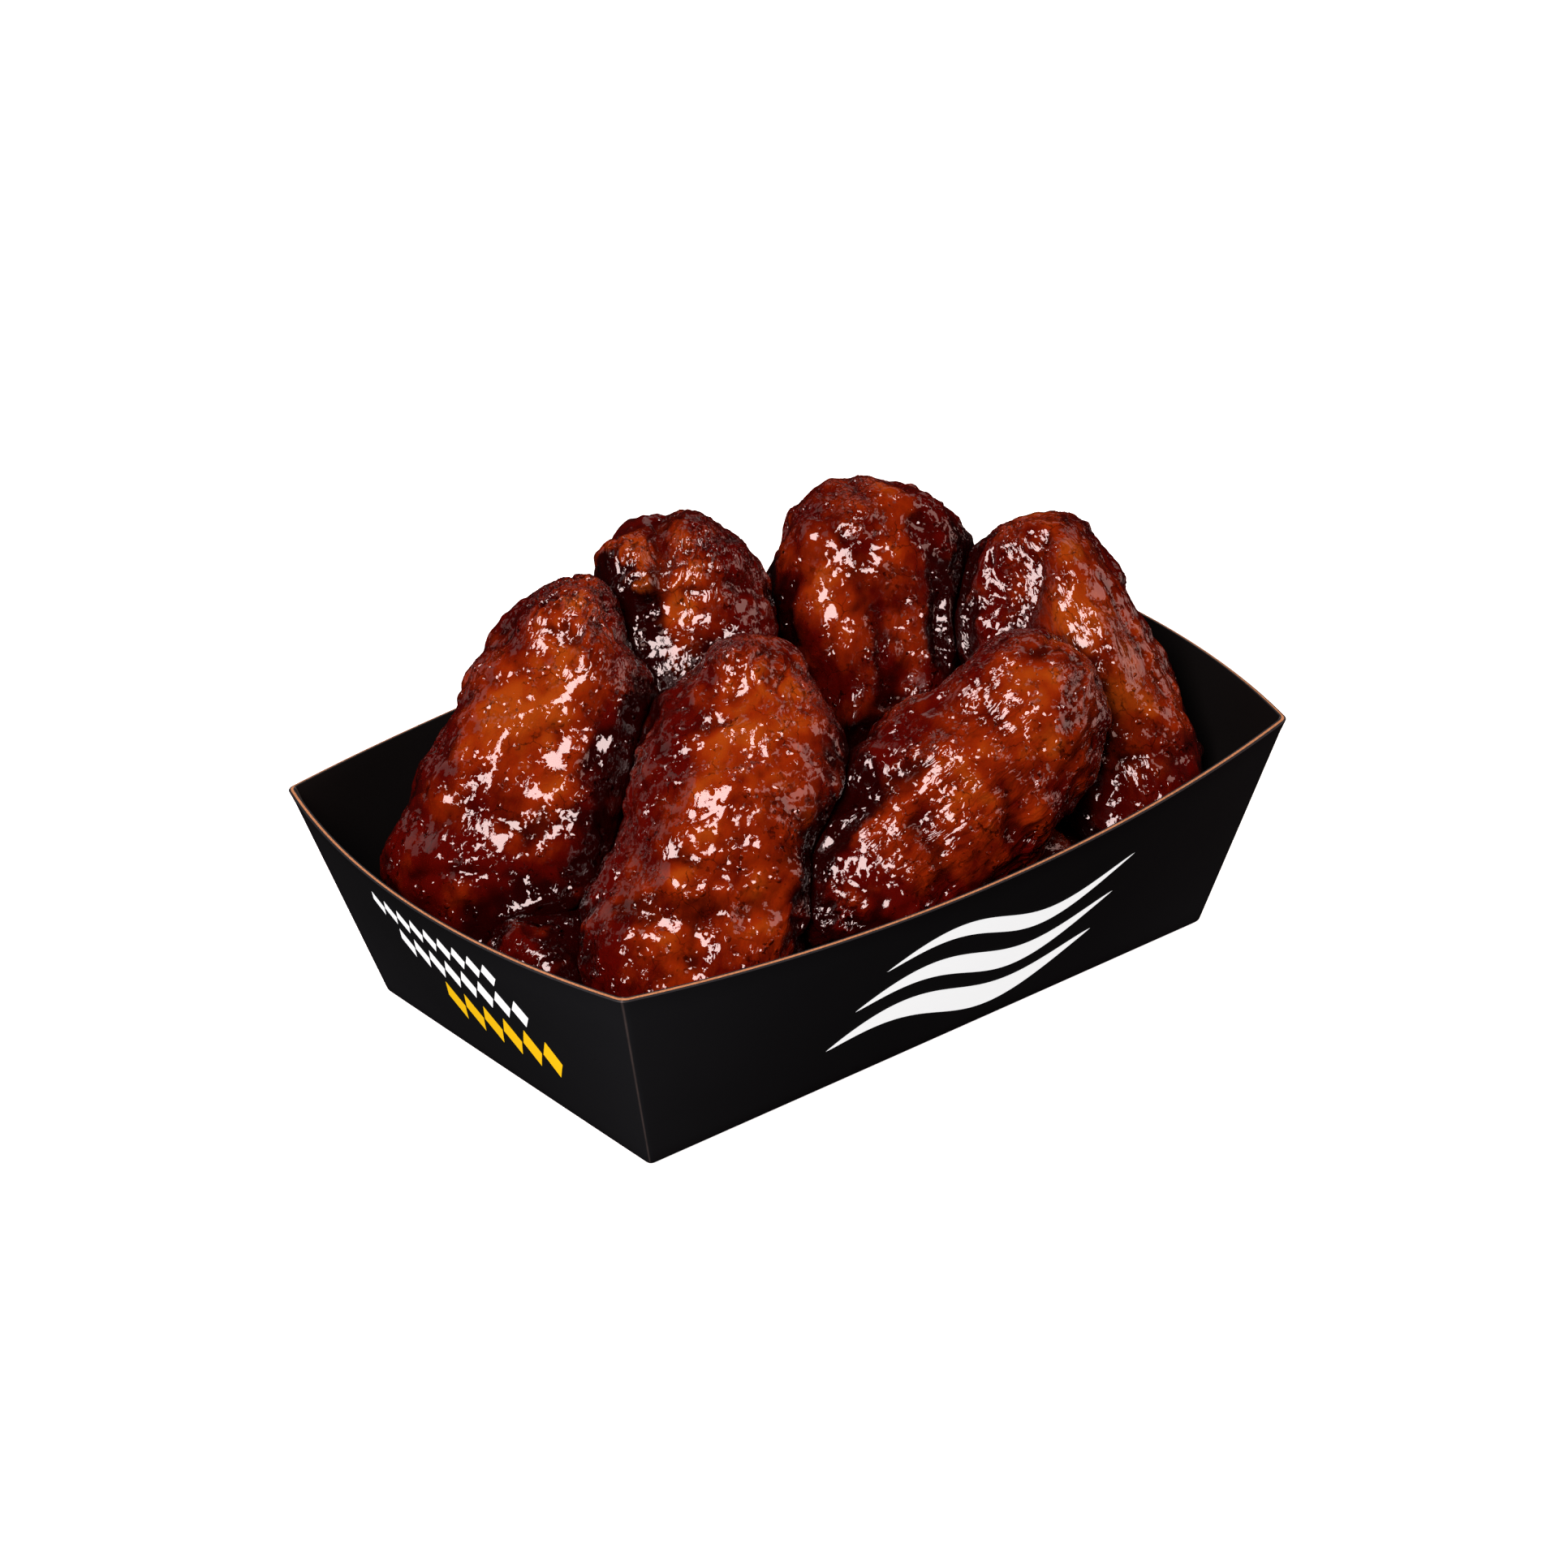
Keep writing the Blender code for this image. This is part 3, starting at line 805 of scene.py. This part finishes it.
def grained_normal(place, kept, string, normal):
    """A normal bent by the strings of the skin, its grain, and beads of glaze in patches."""
    from_bead = place.cells(2.3)
    dome = 1.0 - from_bead * from_bead * 7.0
    beads = place.maths("MAXIMUM", dome, 0.0) * place.noise(5.0, 1.0).step(0.60, 0.66)
    normal = place.bump(string * kept["stringy"], STRING_HEIGHT, normal)
    normal = place.bump(place.noise(0.6, 2.0, 0.55), SKIN_GRAIN_HEIGHT, normal)
    return place.bump(beads, BEAD_HEIGHT, normal)


print("beads of glaze", BEAD_HEIGHT / MM, "mm high")

# %% Glaze material
GLAZE_IOR = 1.43
DEPTH_SHARE = 0.08        # how much of the light goes through the glaze and skin
DEPTH = 1.5 * MM


def glaze_finish():
    """The glaze of all wings."""
    material, shader, place = new_material("wing_glaze")
    kept = {name: place.attribute(name) for name in ("standing", "thin", "open", "stringy")}
    lie = place.attribute("lie", "Vector")
    blotch = lie.frayed(5.0, 3.0).vector("MULTIPLY", (0.45, 1.0, 1.0)).noise(3.2, 4.0, 0.65)
    string = lie.frayed(4.0, 3.2).vector("MULTIPLY", (0.14, 1.0, 1.0)).noise(0.85, 1.5)
    ragged = place.frayed(1.1, 1.6)
    tint = darkened(place, kept, string, ragged, browned(place, kept, blotch))
    normal = grained_normal(place, kept, string, tilted_normal(place, kept, ragged))
    plug(shader, {
        "Base Color": tint,
        "Roughness": 0.03 + 0.06 * blotch,
        "IOR": GLAZE_IOR,
        "Normal": normal,
        "Subsurface Weight": DEPTH_SHARE,
        "Subsurface Radius": (1.0, 0.15, 0.05),
        "Subsurface Scale": DEPTH,
    })
    return material


glaze = glaze_finish()
for node, skin in skins.items():
    skin.data.materials.clear()
    skin.data.materials.append(glaze)
    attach(skin, "root")
    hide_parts(node)
print("glazed", len(skins), "wings with", len(glaze.node_tree.nodes), "nodes")

# %% [markdown]
# The tray
#
# The tray is one sheet of board, black on both faces and bare brown where it is cut. It
# could be a thin box with a Solidify modifier. Here it is swept instead: a closed
# outline at each height, out of four bowed sides and four rounded folds, up the outside,
# over the cut edge and down the inside. So the cut edge gets a material of its own. It
# slopes outwards, because it is square to the panels, and the black of both faces
# reaches a little way over it.

# %% Tray sizes
BASE_LENGTH, BASE_WIDTH = 150.0, 92.0
TOP_LENGTH, TOP_WIDTH = 178.0, 115.5
TRAY_HEIGHT = 50.0
LONG_RIM_DIP, SHORT_RIM_DIP = 2.3, 0.3
LONG_SIDE_BOW, SHORT_SIDE_BOW = 11.0, 9.4
BOARD, BOARD_ACROSS = 1.0, 1.04    # the board's thickness, and the same measured level
CORNER_RADIUS = 1.3
CREASE = 0.9              # the rounding between the base and the sides
EDGE_ROUND = 0.16
EDGE_TILT = 0.33          # how far the cut edge drops for each millimetre outwards
INK_WRAP = 0.32           # how far the black reaches over the cut edge
SIDE_STEPS = 72
CORNER_STEPS = 8
LEVEL_STEPS = 16
CREASE_STEPS = 5
print("the top is", TOP_LENGTH - BASE_LENGTH, "mm longer than the base")


# %% Tray outline
def panel_point(turn, along, share, inset=0.0, level=None):
    """A point of side 0 to 3 in millimetres: front, right, back, left.

    along runs from -1 to 1 between the folds and share from 0 at the base to 1 at the rim.
    """
    is_long = turn % 2 == 0
    base_half = (BASE_LENGTH if is_long else BASE_WIDTH) / 2
    top_half = (TOP_LENGTH if is_long else TOP_WIDTH) / 2
    base_out = (BASE_WIDTH if is_long else BASE_LENGTH) / 2
    top_out = (TOP_WIDTH if is_long else TOP_LENGTH) / 2
    dip = LONG_RIM_DIP if is_long else SHORT_RIM_DIP
    bow = LONG_SIDE_BOW if is_long else SHORT_SIDE_BOW
    belly = 1 - along ** 2
    height = share * (TRAY_HEIGHT - dip * belly)
    rise = height / TRAY_HEIGHT
    sideways = along * (base_half + (top_half - base_half) * rise - inset)
    outwards = base_out + (top_out - base_out) * rise + bow * belly * rise - inset
    places = ((sideways, -outwards), (outwards, sideways), (-sideways, outwards), (-outwards, -sideways))
    x, y = places[turn]
    return np.array([x, y, height if level is None else level])


def tray_ring(share, inset=0.0, level=None, lift=0.0):
    """The outline once round, and how near each of its points is to a fold."""
    ring, folds = [], []
    for turn in range(4):
        half, next_half = BASE_LENGTH / 2, BASE_WIDTH / 2
        if turn % 2 == 1:
            half, next_half = next_half, half
        straight = 1 - CORNER_RADIUS / half
        for along in np.linspace(-straight, straight, SIDE_STEPS + 1):
            ring.append(panel_point(turn, along, share, inset, level))
            folds.append(0.0)
        start = ring[-1]
        corner = panel_point(turn, 1.0, share, inset, level)
        end = panel_point((turn + 1) % 4, CORNER_RADIUS / next_half - 1, share, inset, level)
        for part in np.arange(1, CORNER_STEPS) / CORNER_STEPS:
            ring.append((1 - part) ** 2 * start + 2 * part * (1 - part) * corner + part ** 2 * end)
            folds.append(1 - abs(2 * part - 1))
    ring = np.array(ring)
    ring[:, 2] += lift
    return ring, folds


print("points in an outline:", len(tray_ring(1.0)[1]))

# %% All outlines of the tray
# Over the cut edge: how far in from the outer face, how far below the edge, and the band
# of faces that starts there.
CUT_EDGE = [
    (0.0, EDGE_ROUND, "black"),
    (0.3 * EDGE_ROUND, 0.3 * EDGE_ROUND, "black"),
    (EDGE_ROUND, 0.0, "black"),
    (INK_WRAP, 0.0, "brown"),
    (BOARD_ACROSS - INK_WRAP, 0.0, "black"),
    (BOARD_ACROSS - EDGE_ROUND, 0.0, "black"),
    (BOARD_ACROSS - 0.3 * EDGE_ROUND, 0.3 * EDGE_ROUND, "black"),
    (BOARD_ACROSS, EDGE_ROUND, "inside"),
]


def tray_rings():
    """The outlines from the underside over the rim to the inner floor, each with its band."""
    rings = []
    for angle in np.linspace(0, math.pi / 2, CREASE_STEPS):
        round_in, round_up = CREASE * (1 - math.sin(angle)), CREASE * (1 - math.cos(angle))
        rings.append((tray_ring(round_up / TRAY_HEIGHT, inset=round_in), "black"))
    shares = np.linspace(CREASE / TRAY_HEIGHT, 1.0, LEVEL_STEPS)[1:-1]
    rings += [(tray_ring(share), "black") for share in shares]
    for inset, drop, band in CUT_EDGE:
        lift = -drop - EDGE_TILT * (BOARD_ACROSS - inset)
        rings.append((tray_ring(1.0, inset=inset, lift=lift), band))
    rings += [(tray_ring(share, inset=BOARD_ACROSS), "inside") for share in reversed(shares)]
    rings.append((tray_ring(BOARD / TRAY_HEIGHT, inset=BOARD_ACROSS, level=BOARD), "inside"))
    return rings


rings = tray_rings()
print("outlines:", len(rings))

# %% [markdown]
# The board
#
# Printed board is matt, with a faint tooth of fibres, and its black is lighter along the
# folds. The inside is in the shade of the heap, so its black is painted darker, as shade.
# Photographed board could be wrapped round, but a few noises do it, and they have no seam
# at the folds.

# %% Board materials
OUTER_BLACK = (color(0.0062, 0.0080, 0.0096), color(0.0088, 0.0112, 0.0131))
# painted shade: the inside is the same board, painted darker because the heap shades it
SHADED_INNER_BLACK = (color(0.0010, 0.0010, 0.0010), color(0.0015, 0.0015, 0.0015))
FOLD_LINE_GREY = color(0.085, 0.075, 0.070)
PULP = (color(0.182, 0.085, 0.036), color(0.280, 0.142, 0.066))
TOOTH = 0.012 * MM
CUT_TOOTH = 0.05 * MM


def black_board(name, blacks, shine):
    """Black board: matt, with a faint tooth, and lighter along its folds."""
    material, shader, place = new_material(name)
    fibre = place.noise(0.35, 3.0, 0.6)
    pale_fold = place.attribute("fold").step(0.72, 1.0) * (0.25 + 0.5 * place.noise(3.0, 3.0))
    plug(shader, {
        "Base Color": pale_fold.blend(place.noise(22.0).blend(*blacks), FOLD_LINE_GREY),
        "Roughness": 0.50 + 0.12 * fibre,
        "Specular IOR Level": shine,
        "Normal": place.bump(fibre, TOOTH),
    })
    return material


def brown_edge():
    """The bare cut edge: brown pulp."""
    material, shader, place = new_material("brown_edge")
    fibre = place.noise(0.5, 3.0, 0.6)
    plug(shader, {
        "Base Color": fibre.step(0.3, 0.7).blend(*PULP),
        "Roughness": 0.85,
        "Specular IOR Level": 0.2,
        "Normal": place.bump(fibre, CUT_TOOTH),
    })
    return material


finishes = {
    "black": black_board("black_board", OUTER_BLACK, 0.16),
    "brown": brown_edge(),
    # the inside gets the darker blacks, which are painted shade
    "inside": black_board("shaded_black_inside", SHADED_INNER_BLACK, 0.08),
}
print("board materials:", ", ".join(finish.name for finish in finishes.values()))

# %% Fold the tray
FOLD_ANGLE = math.radians(40)


def fold_tray():
    """The tray's mesh: faces between each outline and the next, the underside and the floor."""
    points = np.concatenate([ring for (ring, _), _ in rings])
    folds = np.concatenate([near for (_, near), _ in rings])
    count = len(rings[0][0][0])
    faces, bands = [tuple(reversed(range(count)))], ["black"]
    for row in range(len(rings) - 1):
        for spot in range(count):
            after = (spot + 1) % count
            faces.append((row * count + spot, row * count + after,
                          (row + 1) * count + after, (row + 1) * count + spot))
            bands.append(rings[row][1])
    last = (len(rings) - 1) * count
    faces.append(tuple(range(last, last + count)))
    bands.append("inside")
    mesh = bpy.data.meshes.new("tray_board")
    mesh.from_pydata((points * MM).tolist(), [], faces)
    store(mesh, "fold", folds)
    for finish in finishes.values():
        mesh.materials.append(finish)
    slots = list(finishes)
    mesh.polygons.foreach_set("material_index", [slots.index(band) for band in bands])
    mesh.shade_smooth()
    mesh.set_sharp_from_angle(angle=FOLD_ANGLE)
    return new_piece("tray_board", mesh)


tray = fold_tray()
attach(tray, "root")
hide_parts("tray")
print("tray", len(tray.data.polygons), "faces")

# %% [markdown]
# The print
#
# Such a tray is printed in white and one bright colour. A print could be painted by the
# material, but thin shapes stay crisper as thin sheets of ink. Each lies a few
# hundredths of a millimetre off the board and follows its bow. The long sides get three
# flowing waves and the short sides three rows of diamonds. The inks glow, because they
# are far brighter than the dim light on the sides would make them.

# %% Sheets of ink
INK_PROUD = 0.05
INK_TOOTH = 0.012 * MM
INK_WEAR = 0.55           # how dark an ink is where its fibres show
INK_ROUGHNESS = 0.55


def ink_material(name, tint, glow):
    """A flat ink that shows a little of the board's fibres."""
    material, shader, place = new_material(name)
    fibre = place.noise(0.6, 3.0, 0.6)
    worn_tint = color(*(INK_WEAR * part for part in tint))
    plug(shader, {
        "Base Color": (fibre * 0.12).blend(color(*tint), worn_tint),
        "Emission Color": color(*tint),
        "Emission Strength": glow,
        "Roughness": INK_ROUGHNESS,
        "Specular IOR Level": 0.2,
        "Normal": place.bump(fibre, INK_TOOTH),
    })
    material.cycles.emission_sampling = "NONE"
    return material


def ink_sheet(name, turn, strips, material):
    """Ribbons of ink on one side; each strip is two rows of (along, share) points."""
    points, faces = [], []
    for upper, lower in strips:
        start = len(points)
        for top, bottom in zip(upper, lower):
            points.append(panel_point(turn, *top, inset=-INK_PROUD))
            points.append(panel_point(turn, *bottom, inset=-INK_PROUD))
        for row in range(len(upper) - 1):
            first = start + 2 * row
            faces.append((first + 1, first + 3, first + 2, first))
    mesh = bpy.data.meshes.new(name)
    mesh.from_pydata((np.array(points) * MM).tolist(), [], faces)
    mesh.materials.append(material)
    mesh.shade_smooth()
    piece = new_piece(name, mesh)
    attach(piece, "root")
    return piece


white_ink = ink_material("white_ink", (0.76, 0.81, 0.82), glow=0.88)
yellow_ink = ink_material("yellow_ink", (0.87, 0.55, 0.006), glow=0.55)
print("inks:", white_ink.name, yellow_ink.name)

# %% Waves on the long sides
WAVE_STEPS = 90
WAVE_SWING = 0.085
WAVE_TURNS = 1.1          # how many times a wave goes up and down
WAVE_TAPER = 0.8          # below 1 for fuller ends
WAVE_ROWS = 3


def wave(left, right, share, thick):
    """A ribbon that flows up and down and tapers to a point at both ends."""
    upper, lower = [], []
    for part in np.linspace(0, 1, WAVE_STEPS):
        along = left + (right - left) * part
        middle = share + WAVE_SWING * math.sin(2 * WAVE_TURNS * math.pi * part)
        half = 0.5 * thick * math.sin(math.pi * part) ** WAVE_TAPER
        upper.append((along, middle + half))
        lower.append((along, middle - half))
    return upper, lower


# Each wave lies higher than the one before it, a little further right, and is thinner.
for turn, side in ((0, "front"), (2, "back")):
    waves = []
    for row in range(WAVE_ROWS):
        left, right = -0.42 + 0.07 * row, 0.48 + 0.02 * row
        waves.append(wave(left, right, share=0.27 + 0.20 * row, thick=0.150 - 0.025 * row))
    sheet = ink_sheet("waves_" + side, turn, waves, white_ink)
    print(sheet.name, len(sheet.data.polygons), "faces")

# %% Diamonds on the short sides
DIAMOND_STEPS = 9
DIAMOND_HALF = 0.46       # of the distance between two of them


def diamonds(left, right, share, count, height):
    """A row of slender diamonds."""
    strips = []
    pitch = (right - left) / count
    for spot in range(count):
        centre = left + pitch * (spot + 0.5)
        upper, lower = [], []
        for part in np.linspace(0, 1, DIAMOND_STEPS):
            along = centre + pitch * DIAMOND_HALF * (2 * part - 1)
            half = 0.5 * height * (1 - abs(2 * part - 1))
            upper.append((along, share + half))
            lower.append((along, share - half))
        strips.append((upper, lower))
    return strips


# Two rows of white diamonds lie over one row of larger yellow ones.
for turn, side in ((1, "right"), (3, "left")):
    white_rows = diamonds(-0.42, 0.36, 0.79, 9, 0.13) + diamonds(-0.36, 0.46, 0.61, 8, 0.16)
    yellow_row = diamonds(-0.20, 0.56, 0.38, 6, 0.22)
    ink_sheet("diamonds_" + side, turn, white_rows, white_ink)
    ink_sheet("diamonds_low_" + side, turn, yellow_row, yellow_ink)
    print(side, "side:", len(white_rows), "white and", len(yellow_row), "yellow diamonds")

# %% [markdown]
# The size
#
# The dressed part has to stay as large as its solids. The solids' box is kept at the start.
